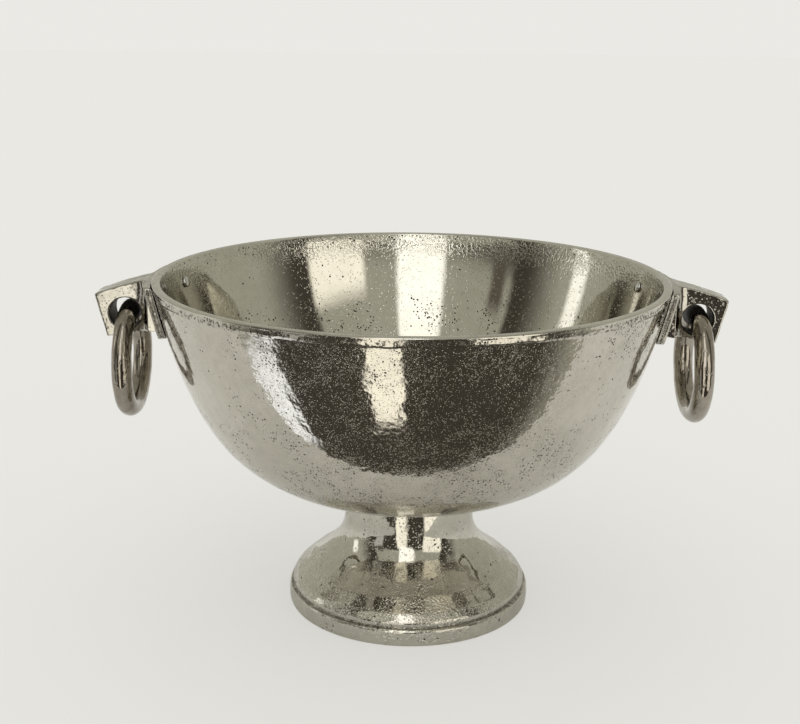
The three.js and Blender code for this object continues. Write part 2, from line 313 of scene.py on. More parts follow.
def make_cast_grain():
    """Sand-cast skin: slow ripples under scattered beads and dimples, bright metal between them."""
    tree, given, out = group(
        "Cast Grain",
        (("Position", None), ("Lumps per metre", 800.0), ("Ripple", 0.2), ("Cover", 0.5)),
        ("Height",),
    )
    slowness, edge = 0.16, 0.12  # the ripples' rate beside the lumps', and a bead's soft edge
    bead_level, dimple_level, cover_reach = 0.68, 0.32, 0.25  # in noise, from 0 to 1
    slow_size = maths(tree, "MULTIPLY", given["Lumps per metre"], slowness)
    slow = add(tree, "ShaderNodeTexNoise", {
        "Vector": given["Position"], "Scale": slow_size, "Detail": 2.0, "Roughness": 0.5,
    })
    lumps = add(tree, "ShaderNodeTexNoise", {
        "Vector": given["Position"], "Scale": given["Lumps per metre"], "Detail": 1.0,
        "Roughness": 0.6,
    })
    start = maths(tree, "MULTIPLY_ADD", given["Cover"], -cover_reach, bead_level)
    beads = spread(tree, lumps.outputs["Fac"], start, maths(tree, "ADD", start, edge))
    finish = maths(tree, "MULTIPLY_ADD", given["Cover"], cover_reach, dimple_level)
    low = maths(tree, "SUBTRACT", finish, edge)
    dimples = spread(tree, lumps.outputs["Fac"], finish, low, 0.0, -1.0)
    fine = maths(tree, "ADD", beads, dimples)
    height = maths(tree, "MULTIPLY_ADD", slow.outputs["Fac"], given["Ripple"], fine)
    tree.links.new(height, out["Height"])
    return tree


def make_casting_pits():
    """Scattered small cavities, each a ragged dark spot."""
    tree, given, out = group(
        "Casting Pits",
        (
            ("Position", None), ("Cells per metre", 300.0), ("Share", 0.1), ("Width", 0.3),
            ("Ragged", 0.6),
        ),
        ("Mask",),
    )
    rags_per_metre, smallest, size_range, floor = 1500.0, 0.4, 0.8, 0.55
    rag = add(tree, "ShaderNodeTexNoise", {
        "Vector": given["Position"], "Scale": rags_per_metre, "Detail": 1.0,
    })
    shift = add(tree, "ShaderNodeVectorMath", {
        0: rag.outputs["Color"], 1: (0.5, 0.5, 0.5),
    }, operation="SUBTRACT")
    length = maths(tree, "DIVIDE", given["Ragged"], given["Cells per metre"])
    nudge = add(tree, "ShaderNodeVectorMath", {
        0: shift.outputs[0], "Scale": length,
    }, operation="SCALE")
    place = add(tree, "ShaderNodeVectorMath", {
        0: given["Position"], 1: nudge.outputs[0],
    }, operation="ADD")
    cells = add(tree, "ShaderNodeTexVoronoi", {
        "Vector": place.outputs[0], "Scale": given["Cells per metre"], "Randomness": 1.0,
    })
    pick = add(tree, "ShaderNodeSeparateColor", {"Color": cells.outputs["Color"]}).outputs
    chosen = maths(tree, "LESS_THAN", pick["Red"], given["Share"])
    share = maths(tree, "MULTIPLY_ADD", pick["Green"], size_range, smallest)
    size = maths(tree, "MULTIPLY", given["Width"], share)
    deep = maths(tree, "DIVIDE", cells.outputs["Distance"], size)
    spot = spread(tree, deep, 1.0, floor)
    tree.links.new(maths(tree, "MULTIPLY", spot, chosen), out["Mask"])
    return tree


def make_handling_marks():
    """Fine scratches that run in two directions, broken up in patches."""
    tree, given, out = group(
        "Handling Marks",
        (("Position", None), ("Lines per metre", 900.0), ("Amount", 0.5)),
        ("Mask",),
    )
    runs = (((0.4, 0.2, 0.9), (1, 0.04, 0.3)), ((1.1, 0.7, -0.5), (1, 0.05, 0.2)))
    patches_per_metre = 60.0
    total = None
    for turn, stretch in runs:
        laid = add(tree, "ShaderNodeMapping", {
            "Vector": given["Position"], "Rotation": turn, "Scale": stretch,
        })
        lines = add(tree, "ShaderNodeTexNoise", {
            "Vector": laid.outputs[0], "Scale": given["Lines per metre"], "Detail": 2.0,
        })
        line = spread(tree, lines.outputs["Fac"], 0.62, 0.72)
        total = line if total is None else maths(tree, "MAXIMUM", total, line)
    patch = add(tree, "ShaderNodeTexNoise", {
        "Vector": given["Position"], "Scale": patches_per_metre, "Detail": 2.0,
    })
    held = spread(tree, patch.outputs["Fac"], 0.4, 0.65)
    part = maths(tree, "MULTIPLY", held, given["Amount"])
    tree.links.new(maths(tree, "MULTIPLY", total, part, clamp=True), out["Mask"])
    return tree


def make_clouds():
    """Slow patches for tone and sheen, with a finer mottle over them."""
    tree, given, out = group(
        "Tarnish Clouds", (("Position", None), ("Patches per metre", 12.0)), ("Broad", "Mottle")
    )
    broad = add(tree, "ShaderNodeTexNoise", {
        "Vector": given["Position"], "Scale": given["Patches per metre"], "Detail": 3.0,
        "Roughness": 0.6,
    })
    mottle_rate = 9.0  # mottles to a patch's length
    size = maths(tree, "MULTIPLY", given["Patches per metre"], mottle_rate)
    mottle = add(tree, "ShaderNodeTexNoise", {
        "Vector": given["Position"], "Scale": size, "Detail": 4.0, "Roughness": 0.65,
    })
    tree.links.new(spread(tree, broad.outputs["Fac"], 0.3, 0.7), out["Broad"])
    tree.links.new(spread(tree, mottle.outputs["Fac"], 0.3, 0.7), out["Mottle"])
    return tree


CAST_GRAIN = make_cast_grain()
CASTING_PITS = make_casting_pits()
HANDLING_MARKS = make_handling_marks()
TARNISH_CLOUDS = make_clouds()

# --- finishes ------------------------------------------------------------------------------------

# Near-black for grime and for painted shade in holes, gaps and corners.
GRIME_AND_SHADE = (0.022, 0.02, 0.017)
SCRATCHED = (0.8, 0.79, 0.76)
CLOUDS_PER_METRE, PATCHES_PER_METRE = 14.0, 45.0
BROAD_SHARE, MOTTLE_SHARE = 0.55, 0.45
PIT_DEPTH = 0.25 * MM


def nickel(name, bright, dull, pit_colour, sheen, grain, pits, marks, zone):
    """A worn nickel plate on cast metal.

    sheen: roughness where bright and where dull. grain: (lumps per metre, depth, ripple).
    pits: (cells per metre, share, width). marks: (lines per metre, amount, depth in metres).
    zone: a function that gives the strength of the grain, the pits, and the grime and painted shade
    over the piece.
    """
    finish = bpy.data.materials.new(name)
    finish.use_nodes = True
    tree = finish.node_tree
    tree.nodes.clear()
    place = add(tree, "ShaderNodeTexCoord").outputs["Object"]
    axes = add(tree, "ShaderNodeSeparateXYZ", {0: place}).outputs
    clouds = use(tree, TARNISH_CLOUDS, {
        "Position": place, "Patches per metre": CLOUDS_PER_METRE,
    })
    patches = use(tree, TARNISH_CLOUDS, {
        "Position": place, "Patches per metre": PATCHES_PER_METRE,
    })
    grain_zone, pit_zone, grime_and_shade = zone(tree, axes, clouds, patches)

    height = use(tree, CAST_GRAIN, {
        "Position": place, "Lumps per metre": grain[0], "Ripple": grain[2], "Cover": grain_zone,
    })["Height"]
    share = maths(tree, "MULTIPLY", pits[1], pit_zone)
    pit = use(tree, CASTING_PITS, {
        "Position": place, "Cells per metre": pits[0], "Share": share, "Width": pits[2],
    })["Mask"]
    mark = use(tree, HANDLING_MARKS, {
        "Position": place, "Lines per metre": marks[0], "Amount": marks[1],
    })["Mask"]

    broad = maths(tree, "MULTIPLY", clouds["Broad"], BROAD_SHARE)
    tone = maths(tree, "MULTIPLY_ADD", clouds["Mottle"], MOTTLE_SHARE, broad)
    colour = blend(tree, tone, (*bright, 1), (*dull, 1))
    colour = blend(tree, maths(tree, "MULTIPLY", mark, 0.25), colour, (*SCRATCHED, 1))
    colour = blend(tree, pit, colour, (*pit_colour, 1))
    # Darkens towards near-black where grime lies and where shade is painted.
    colour = blend(tree, grime_and_shade, colour, (*GRIME_AND_SHADE, 1))

    rough = maths(tree, "MULTIPLY_ADD", tone, sheen[1] - sheen[0], sheen[0])
    rough = maths(tree, "MULTIPLY_ADD", patches["Mottle"], 0.02, rough)
    rough = maths(tree, "MULTIPLY_ADD", mark, 0.04, rough)
    rough = maths(tree, "MULTIPLY_ADD", pit, 0.4, rough, clamp=True)
    rough = maths(tree, "MULTIPLY_ADD", grime_and_shade, 0.5, rough, clamp=True)

    skin = add(tree, "ShaderNodeBump", {"Height": height, "Distance": grain[1], "Strength": 1.0})
    scratch = add(tree, "ShaderNodeBump", {
        "Height": mark, "Distance": marks[2], "Strength": 1.0, "Normal": skin.outputs[0],
    }, invert=True)
    cavity = add(tree, "ShaderNodeBump", {
        "Height": pit, "Distance": PIT_DEPTH, "Strength": 1.0, "Normal": scratch.outputs[0],
    }, invert=True)
    metal = add(tree, "ShaderNodeBsdfPrincipled", {
        "Base Color": colour, "Metallic": 1.0, "Roughness": rough, "Normal": cavity.outputs[0],
    })
    output = add(tree, "ShaderNodeOutputMaterial")
    tree.links.new(metal.outputs[0], output.inputs["Surface"])
    return finish


def within(tree, value, low, high, soft):
    """1 between low and high, fading to 0 over a soft edge outside them."""
    rise = spread(tree, value, low - soft, low)
    fall = spread(tree, value, high + soft, high)
    return maths(tree, "MULTIPLY", rise, fall)


def outer_zone(tree, axes, clouds, patches):
    """Grain fades upwards from the bowl's belly to its lip. Pits gather in patches.

    Painted shade lies round the brackets' plates, and grime in blots along the lip band.
    """
    grain_top, grain_bottom = 0.22, 0.13
    lip_low, lip_high, lip_soft = 0.238, 0.262, 0.014
    belly_top, belly_bottom = 0.21, 0.15
    band_low, band_high, band_soft = 0.2575, 0.261, 0.0015
    side_fade = (0.08, 0.06)
    low = spread(tree, axes["Z"], grain_top, grain_bottom, 0.12, 0.5)
    grain = maths(tree, "MULTIPLY", low, maths(tree, "MULTIPLY_ADD", patches["Broad"], 1.3, 0.25))
    lip = within(tree, axes["Z"], lip_low, lip_high, lip_soft)
    belly = spread(tree, axes["Z"], belly_top, belly_bottom)
    where = maths(tree, "MAXIMUM", lip, maths(tree, "MULTIPLY_ADD", belly, 0.85, 0.15))
    gather = spread(tree, patches["Broad"], 0.35, 0.8)
    across = maths(tree, "ABSOLUTE", axes["Y"])
    beside = maths(tree, "SUBTRACT", across, PLATE_END)
    under = maths(tree, "SUBTRACT", PLATE_LOW, axes["Z"])
    past = maths(tree, "MAXIMUM", beside, under)
    # Painted shade on the wall close round each bracket's plate.
    near_plate = spread(tree, past, 1.6 * MM, 0.5 * MM)
    seam = maths(tree, "MULTIPLY", near_plate, spread(tree, across, *side_fade))
    band = within(tree, axes["Z"], band_low, band_high, band_soft)
    blots = maths(tree, "MULTIPLY", band, spread(tree, patches["Mottle"], 0.5, 0.85, 0.0, 0.75))
    return grain, maths(tree, "MULTIPLY", where, gather), maths(tree, "MAXIMUM", seam, blots)


def inner_zone(tree, axes, clouds, patches):
    """Smooth inside, with a belt of pits at half depth."""
    belt_low, belt_high, belt_soft = 0.184, 0.202, 0.01
    lip_low, lip_high, lip_pits = 0.252, 0.26, 0.7
    grain_low, grain_high = 0.235, 0.26
    stray_pits = 0.05
    belt = within(tree, axes["Z"], belt_low, belt_high, belt_soft)
    lip = spread(tree, axes["Z"], lip_low, lip_high, 0.0, lip_pits)
    gather = spread(tree, patches["Broad"], 0.3, 0.7)
    where = maths(tree, "MAXIMUM", maths(tree, "MAXIMUM", belt, lip), stray_pits)
    grain = spread(tree, axes["Z"], grain_low, grain_high, 0.1, 0.9)
    return grain, maths(tree, "MULTIPLY", where, gather), 0.0


def foot_zone(tree, axes, clouds, patches):
    """Smooth up the neck and coarse in patches on the dome, with a dark line over the base band."""
    dome_top, dome_bottom = 0.046, 0.03
    line_low, line_high, line_soft = 13.2 * MM, 14 * MM, 0.6 * MM
    dome = spread(tree, axes["Z"], dome_top, dome_bottom, 0.14, 0.6)
    grain = maths(tree, "MULTIPLY", dome, maths(tree, "MULTIPLY_ADD", patches["Broad"], 1.3, 0.3))
    groove = within(tree, axes["Z"], line_low, line_high, line_soft)
    # Darker in patches along the groove above the base band.
    darker_in_groove = maths(tree, "MULTIPLY", groove, spread(tree, patches["Mottle"], 0.1, 0.8, 0.15, 0.7))
    return grain, spread(tree, patches["Broad"], 0.3, 0.9), darker_in_groove


def even_zone(tree, axes, clouds, patches):
    """A little grain in patches."""
    most = 0.32
    grain = maths(tree, "MULTIPLY", patches["Broad"], most)
    return grain, spread(tree, clouds["Mottle"], 0.3, 0.8), 0.0


def bracket_zone(tree, axes, clouds, patches):
    """Rough in the plate's sunk ends, and painted black in its hole and its corners: painted shade,
    over dark unpolished casting in the hole.
    """
    grain, pits, _ = even_zone(tree, axes, clouds, patches)
    panel = add(tree, "ShaderNodeAttribute", attribute_name="sunk_panel").outputs["Fac"]
    held = add(tree, "ShaderNodeAttribute", attribute_name="grime_and_shade").outputs["Fac"]
    coarse = maths(tree, "MULTIPLY_ADD", panel, 0.8, grain)
    dirt = maths(tree, "MULTIPLY_ADD", patches["Mottle"], 0.45, 0.1)
    dark = maths(tree, "MULTIPLY", panel, dirt)
    return coarse, pits, maths(tree, "MAXIMUM", held, dark)


def ring_zone(tree, axes, clouds, patches):
    """Worn grey all over, with painted shade where the bar lies in the bracket's hole."""
    grain, pits, _ = even_zone(tree, axes, clouds, patches)
    side_fade = (15 * MM, 11.5 * MM)
    rise_from, rise_to, most = HOLE[1] - 16 * MM, HOLE[1] - 9 * MM, 0.85
    near = spread(tree, maths(tree, "ABSOLUTE", axes["Y"]), *side_fade)
    high = spread(tree, axes["Z"], rise_from, rise_to, 0.0, most)
    # Painted shade on the top of the bar where it lies in the hole.
    return grain, pits, maths(tree, "MULTIPLY", near, high)


OUTER_NICKEL = nickel(
    "Outer Nickel", (0.64, 0.61, 0.54), (0.50, 0.475, 0.41), (0.03, 0.026, 0.022), (0.015, 0.04),
    grain=(820.0, 0.08 * MM, 2.8), pits=(560.0, 0.8, 0.42), marks=(900.0, 0.3, 0.01 * MM),
    zone=outer_zone,
)
INNER_NICKEL = nickel(
    "Inner Nickel", (0.64, 0.62, 0.55), (0.54, 0.52, 0.45), (0.02, 0.018, 0.015), (0.02, 0.05),
    grain=(420.0, 0.06 * MM, 0.9), pits=(430.0, 0.8, 0.38), marks=(500.0, 0.5, 0.006 * MM),
    zone=inner_zone,
)
RIM_NICKEL = nickel(
    "Rim Nickel", (0.66, 0.64, 0.58), (0.52, 0.50, 0.44), (0.08, 0.07, 0.06), (0.10, 0.2),
    grain=(500.0, 0.06 * MM, 0.6), pits=(420.0, 0.15, 0.3), marks=(900.0, 0.6, 0.02 * MM),
    zone=even_zone,
)
FOOT_NICKEL = nickel(
    "Foot Nickel", (0.64, 0.62, 0.55), (0.50, 0.48, 0.42), (0.05, 0.045, 0.04), (0.02, 0.06),
    grain=(520.0, 0.15 * MM, 1.6), pits=(400.0, 0.35, 0.36), marks=(900.0, 0.3, 0.01 * MM),
    zone=foot_zone,
)
BRACKET_NICKEL = nickel(
    "Bracket Nickel", (0.60, 0.58, 0.525), (0.40, 0.385, 0.34), (0.05, 0.045, 0.04), (0.06, 0.16),
    grain=(360.0, 0.12 * MM, 2.4), pits=(420.0, 0.15, 0.3), marks=(700.0, 0.9, 0.02 * MM),
    zone=bracket_zone,
)
RING_NICKEL = nickel(
    "Ring Nickel", (0.42, 0.385, 0.335), (0.21, 0.185, 0.15), (0.05, 0.04, 0.03), (0.06, 0.16),
    grain=(300.0, 0.12 * MM, 2.4), pits=(380.0, 0.12, 0.3), marks=(600.0, 0.7, 0.02 * MM),
    zone=ring_zone,
)
SCREW_STEEL = nickel(
    "Screw Steel", (0.70, 0.70, 0.68), (0.50, 0.50, 0.48), (0.08, 0.08, 0.08), (0.12, 0.24),
    grain=(900.0, 0.03 * MM, 0.4), pits=(600.0, 0.05, 0.3), marks=(1500.0, 0.8, 0.02 * MM),
    zone=even_zone,
)

# --- bowl ----------------------------------------------------------------------------------------


def make_bowl():
    lip_depth, lip_rows, lip_top = 11 * MM, 15, RIM_HEIGHT - 1.2 * MM
    outside = evenly(BOTTOM[len(BOTTOM) // 4:], 4 * MM)[:-1] + evenly(FLANK, 3 * MM)
    while outside[-1][1] > RIM_HEIGHT - lip_depth:
        outside.pop()
    lip_start = outside[-1][1]
    lip = [lip_start + (lip_top - lip_start) * (i + 1) / lip_rows for i in range(lip_rows)]
    outside += [(wall_radius(z), z) for z in lip]
    outside = [(BOSS_RADIUS, BOSS_HEIGHT), (BOSS_RADIUS, outside[0][1])] + outside
    outside = [(0, BOSS_HEIGHT)] + outside
    inner_wall = offset(FLANK, -WALL)
    inside = evenly(offset(BOTTOM, -WALL), 5 * MM)[:-1] + evenly(inner_wall, 3.6 * MM)
    while inside[-1][1] > RIM_HEIGHT - 2.6 * MM:
        inside.pop()
    bore = RIM_RADIUS - WALL
    rim = [
        (RIM_RADIUS - 0.5 * MM, RIM_HEIGHT - 0.45 * MM),
        (RIM_RADIUS - 1.3 * MM, RIM_HEIGHT),
        (RIM_RADIUS - 3.4 * MM, RIM_HEIGHT),
        (bore + 1.6 * MM, RIM_HEIGHT),
        (bore + 0.5 * MM, RIM_HEIGHT - 0.4 * MM),
        (bore + 0.05 * MM, RIM_HEIGHT - 1.3 * MM),
    ]
    rim_depth = 1.25 * MM
    on_outside, on_inside, on_rim = 0, 1, 2
    shape = turned(outside + rim + inside[::-1], BOWL_STEPS)
    for face in shape.faces:
        centre = face.calc_center_median()
        out = Vector((centre.x, centre.y, 0)).normalized()
        inward = face.normal.z - face.normal.dot(out) > 0
        if centre.z > RIM_HEIGHT - rim_depth:
            face.material_index = on_rim
        else:
            face.material_index = on_inside if inward else on_outside
    for vert in shape.verts:
        dress_bowl_point(vert)
    finishes = [OUTER_NICKEL, INNER_NICKEL, RIM_NICKEL]
    return settle("bowl_shell", shape, "vessel", finishes, "bowl")


def dress_bowl_point(vert):
    """Moves one point of the spun bowl: casting waves, and a proud uneven band at the lip."""
    plain_middle = 20 * MM
    x, y, z = vert.co
    radius = math.hypot(x, y)
    if radius < plain_middle:
        return
    out = Vector((x, y, 0)) / radius
    if vert.normal.z - vert.normal.dot(out) > 0:
        vert.co += vert.normal * layered(vert.co, BOWL_INSIDE_WAVES) * MM
        return
    fade = 1 - ease(z, RIM_HEIGHT - 3 * MM, RIM_HEIGHT - 1 * MM)
    vert.co += vert.normal * layered(vert.co, BOWL_OUTSIDE_WAVES) * fade * MM
    edge = RIM_HEIGHT - (LIP_BAND + layered(vert.co, LIP_EDGE_WAVES)) * MM
    part = ease(z, edge - 0.6 * MM, edge + 0.6 * MM)
    if part > 0 and z < RIM_HEIGHT - 0.6 * MM:
        proud = RIM_RADIUS - (LIP_PROUD + 0.5 * waves(vert.co, 11 * MM, 6.6)) * MM
        now = math.hypot(vert.co.x, vert.co.y)
        vert.co += out * max(0.0, proud - now) * part


# --- foot ----------------------------------------------------------------------------------------


def make_foot():
    band = [
        (BASE_RADIUS - 12 * MM, 0.3 * MM),
        (BASE_RADIUS - 11.6 * MM, 0),
        (BASE_RADIUS - 1.6 * MM, 0),
        (BASE_RADIUS - 0.5 * MM, 0.4 * MM),
        (BASE_RADIUS - 0.1 * MM, 1.4 * MM),
        (BASE_RADIUS, 3 * MM),
        (BASE_RADIUS + 0.1 * MM, 6 * MM),
        (BASE_RADIUS, 9 * MM),
        (BASE_RADIUS - 0.15 * MM, 11.2 * MM),
        (BASE_RADIUS - 0.6 * MM, 12.4 * MM),
        (BASE_RADIUS - 1.4 * MM, 13 * MM),
        (BASE_RADIUS - 2.2 * MM, 13.1 * MM),
        (BASE_RADIUS - 2.9 * MM, 13.4 * MM),
        (BASE_RADIUS - 3.1 * MM, 14 * MM),
        (BASE_RADIUS - 2.9 * MM, 14.8 * MM),
    ]
    dome = [p for p in evenly(DOME, 1.8 * MM) if p[1] > 16.2 * MM]
    neck = evenly([DOME_END, (DOME_END[0], NECK_TOP - 1.2 * MM)], 1.8 * MM)[1:]
    neck.append((DOME_END[0] - 0.4 * MM, NECK_TOP))
    under_bowl = evenly(offset(BOTTOM, 0.3 * MM), 6 * MM)
    seat = [p for p in under_bowl if BOSS_RADIUS + 2 * MM < p[0] < 49 * MM]
    deck = [
        (BOSS_RADIUS + 0.3 * MM, BOTTOM_HEIGHT + 0.3 * MM),
        (BOSS_RADIUS + 0.3 * MM, DECK_HEIGHT + 0.3 * MM),
        (BOSS_RADIUS + 0.8 * MM, DECK_HEIGHT),
        (24 * MM, DECK_HEIGHT),
        (33 * MM, DECK_HEIGHT + 2.9 * MM),
        (42 * MM, DECK_HEIGHT + 6.6 * MM),
        (44 * MM, DECK_HEIGHT + 6.6 * MM),
        (45.6 * MM, DECK_HEIGHT + 5 * MM),
    ]
    inside = evenly(offset(DOME, -FOOT_WALL), 3 * MM)
    hollow = [p for p in inside if 15 * MM < p[1] < 68 * MM]
    step = [(BASE_RADIUS - 10.2 * MM, 11 * MM), (BASE_RADIUS - 11.9 * MM, 1.2 * MM)]
    profile = band + dome + neck + seat[::-1] + deck + hollow[::-1] + step
    shape = turned(profile, FOOT_STEPS, closed=True)
    for vert in shape.verts:
        dress_foot_point(vert)
    return settle("foot_casting", shape, "vessel", [FOOT_NICKEL], "foot")


def turning_marks(height):
    """Height in mm of the two soft ridges left round the dome by turning."""
    return sum(
        depth * math.exp(-(((height - middle) / RIDGE_SPREAD) ** 2))
        for middle, depth in FOOT_RIDGES
    )


def dress_foot_point(vert):
    """Moves one point of the spun foot: long waves and small lumps, none where it stands."""
    z = vert.co.z
    rest = ease(z, 0.5 * MM, 4 * MM) * (1 - ease(z, NECK_TOP - 4 * MM, NECK_TOP - 1 * MM))
    band = 1 - ease(z, 12 * MM, 20 * MM)
    wander = 2.2 * MM * waves(vert.co, 40 * MM, 3.7)
    lumps = layered(vert.co, FOOT_WAVES) + turning_marks(z + wander)
    vert.co += vert.normal * lumps * rest * MM
    seam = 0.7 * waves((vert.co.x, vert.co.y, 0), 30 * MM, 5.9)
    vert.co.z += seam * band * ease(z, 7 * MM, 12 * MM) * MM


# --- brackets ------------------------------------------------------------------------------------


def sunk(y, out, z):
    """0 on the polished border of the plate's end face, 1 in its sunk panel."""
    if abs(y) < PLATE_END - 1.4 * MM:
        return 0.0
    side = min(out - PLATE_OUT[0], PLATE_OUT[1] - out)
    end = min(z - PLATE_LOW, PLATE_HIGH - z)
    return ease(min(side, end), 1.1 * MM, 1.9 * MM)


def held_grime_and_shade(x, y, z, out):
    """How dark a point of the bracket is made: painted shade in its hole, behind its plate and in
    its root, over dark unpolished casting in the hole.
    """
    lug_side = 22 * MM
    bored = math.hypot(abs(x) - HOLE[0], z - HOLE[1]) - HOLE_RADIUS
    in_hole = 1 - ease(bored, 0.3 * MM, 1 * MM)
    against_wall = 1 - ease(out, PLATE_OUT[0] + 0.1 * MM, PLATE_OUT[0] + 0.9 * MM)
    corner = 1 - ease(math.hypot(out - PLATE_OUT[1], abs(y) - lug_side), 0.4 * MM, 2 * MM)
    return max(0.8 * in_hole, against_wall, 0.7 * corner)


def make_bracket(side):
    node = f"bracket_{side}"
    voxel, smoothing, passes = 0.62 * MM, 0.5, 7
    mesh = baked(
        merged_copy(node),
        ("REMESH", {"mode": "VOXEL", "voxel_size": voxel}),
        ("SMOOTH", {"factor": smoothing, "iterations": passes}),
    )
    lowest, highest = 190, 263
    wall = {mm: wall_radius(mm * MM) for mm in range(lowest, highest + 1)}
    shape = bmesh.new()
    shape.from_mesh(mesh)
    bpy.data.meshes.remove(mesh)
    panel = shape.verts.layers.float.new("sunk_panel")
    grime_and_shade = shape.verts.layers.float.new("grime_and_shade")
    sunk_depth = 0.8
    for vert in shape.verts:
        x, y, z = vert.co
        out = math.hypot(x, y) - wall[min(highest, max(lowest, round(z / MM)))]
        part = sunk(y, out, z)
        vert[panel] = part
        # Painted shade in the hole, behind the plate and in the root corner, kept on each point.
        vert[grime_and_shade] = held_grime_and_shade(x, y, z, out)
        rough = 0.25 * waves(vert.co, 2.2 * MM, 3.3)
        vert.co.y -= math.copysign((sunk_depth + rough) * part * MM, y)
        lump = layered(vert.co, BRACKET_WAVES)
        vert.co += vert.normal * lump * (1 - part) * ease(out, 0.5 * MM, 3 * MM) * MM
    return settle(f"{node}_casting", shape, "vessel", [BRACKET_NICKEL], node)


# --- rings ---------------------------------------------------------------------------------------


def make_ring(side):
    node = f"ring_{side}"
    low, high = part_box(node)
    centre = (low + high) / 2
    shape = bmesh.new()
    made = bmesh.ops.create_circle(
        shape, cap_ends=False, segments=BAR_SEGMENTS, radius=BAR_RADIUS,
    )
    edges = list({edge for vert in made["verts"] for edge in vert.link_edges})
    for axis in ("Y", "Z"):
        quarter = Matrix.Rotation(math.pi / 2, 3, axis)
        bmesh.ops.rotate(shape, verts=made["verts"], cent=(0, 0, 0), matrix=quarter)
    bmesh.ops.translate(shape, verts=made["verts"], vec=(0, 0, RING_RADIUS))
    bmesh.ops.spin(
        shape, geom=made["verts"] + edges, cent=(0, 0, 0), axis=(1, 0, 0), dvec=(0, 0, 0),
        angle=TURN, steps=RING_STEPS, use_merge=True, use_duplicate=False,
    )
    bmesh.ops.remove_doubles(shape, verts=shape.verts, dist=MERGE)
    bmesh.ops.recalc_face_normals(shape, faces=shape.faces)
    shape.normal_update()
    seed = RING_SEEDS[side]
    ring_waves = ((0.35, 14 * MM, seed), (0.1, 5 * MM, seed + 1))
    for vert in shape.verts:
        vert.co += vert.normal * layered(vert.co, ring_waves) * MM
    bmesh.ops.translate(shape, verts=shape.verts, vec=centre)
    return settle(f"{node}_bar", shape, f"{side}_handle", [RING_NICKEL], node)


# --- fasteners -----------------------------------------------------------------------------------


def make_bracket_screw(side, place):
    """Slotted round-head screw, built along +Z and laid on its axis, head inside the bowl."""
    head, rise = SCREW_HEAD
    shank, end = SCREW_SHANK
    under, rows = -0.3 * MM, 8
    dome = []
    for i in range(rows + 1):
        angle = i / rows * math.pi / 2
        height = under - SCREW_HEAD_EDGE - (rise - SCREW_HEAD_EDGE) * math.cos(angle)
        dome.append((head * math.sin(angle), height))
    dome[0] = (0, dome[0][1])
    profile = dome + [(head, under - 0.2 * MM), (head - 0.2 * MM, under), (shank, under)]
    profile += [(shank, end - 0.5 * MM), (shank - 0.5 * MM, end), (0, end)]
    body = turned(profile, FASTENER_STEPS)
    cutter = bmesh.new()
    bmesh.ops.create_cube(cutter, size=1)
    bmesh.ops.scale(cutter, verts=cutter.verts, vec=SCREW_SLOT)
    bmesh.ops.translate(cutter, verts=cutter.verts, vec=(0, 0, under - rise + 0.55 * MM))
    tool_mesh = bpy.data.meshes.new("slot_tool")
    cutter.to_mesh(tool_mesh)
    cutter.free()
    tool = bpy.data.objects.new("slot_tool", tool_mesh)
    bpy.context.scene.collection.objects.link(tool)
    mesh = baked(
        body,
        ("BOOLEAN", {"object": tool, "operation": "DIFFERENCE", "solver": "EXACT"}),
        broken_edges(0.12 * MM, 50),
    )
    bpy.data.objects.remove(tool)
    bpy.data.meshes.remove(tool_mesh)
    step = 4 * MM
    flare = wall_radius(SCREW_HEIGHT + step) - wall_radius(SCREW_HEIGHT - step)
    lean = math.atan2(flare, 2 * step)
    sign = 1 if side == "right" else -1
    towards = 1 if place == "back" else -1
    bearing = SCREW_TURN * sign * towards + (0 if side == "right" else math.pi)
    lay = (
        Matrix.Rotation(bearing, 4, "Z")
        @ Matrix.Translation((wall_radius(SCREW_HEIGHT, -WALL), 0, SCREW_HEIGHT))
        @ Matrix.Rotation(math.pi / 2 + lean, 4, "Y")
        @ Matrix.Rotation(SLOT_TURNS[place], 4, "Z")
    )
    mesh.transform(lay)
    node = f"screw_{side}_{place}"
    return seat_mesh(f"{node}_steel", mesh, "vessel", [SCREW_STEEL], node)


def make_stud():
    low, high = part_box("foot_stud")
    radius = high.x
    root = radius - THREAD_DEPTH
    crest = (THREAD_PITCH * 0.42, THREAD_PITCH * 0.56)
    profile = [(0, low.z), (radius - 1.2 * MM, low.z)]
    z = low.z + 0.8 * MM
    while z < high.z - 1.6 * MM:
        profile += [(root, z), (radius, z + crest[0]), (radius, z + crest[1])]
        z += THREAD_PITCH
    profile += [(root, z), (radius - 1 * MM, high.z), (0, high.z)]
    shape = turned(profile, FASTENER_STEPS)
    return settle(
        "foot_stud_thread", shape, "vessel", [SCREW_STEEL], "foot_stud",
    )


def broken_edges(width, sharper_than):
    """The bevel modifier for edges that turn by more than this many degrees."""
    limit = math.radians(sharper_than)
    return "BEVEL", {
        "width": width, "segments": 2, "limit_method": "ANGLE", "angle_limit": limit,
    }


def make_small(node, name, width):
    """A hidden fastener: the CAD shape with its edges broken."""
    mesh = baked(merged_copy(node), broken_edges(width, 35))
    return seat_mesh(name, mesh, "vessel", [SCREW_STEEL], node, smooth=False)


make_bowl()
make_foot()
for which in ("left", "right"):
    make_bracket(which)
    make_ring(which)
    for where in ("front", "back"):
        make_bracket_screw(which, where)
make_stud()
make_small("foot_clamp_washer", "foot_clamp_washer_disc", 0.4 * MM)
make_small("foot_spring_washer", "foot_spring_washer_coil", 0.3 * MM)
make_small("foot_nut", "foot_nut_hex", 0.5 * MM)

# --- studio --------------------------------------------------------------------------------------

SHELF_EDGE = -0.193  # the bench ends here; past it the metal mirrors the room

PALE = (0.826, 0.818, 0.782)
CREAM = (1.0, 0.96, 0.86)
WHITE = (1.0, 0.99, 0.95)
COOL = (0.96, 0.99, 1.06)
OLIVE = (1.0, 0.98, 0.84)
BROWN = (1.0, 0.88, 0.72)

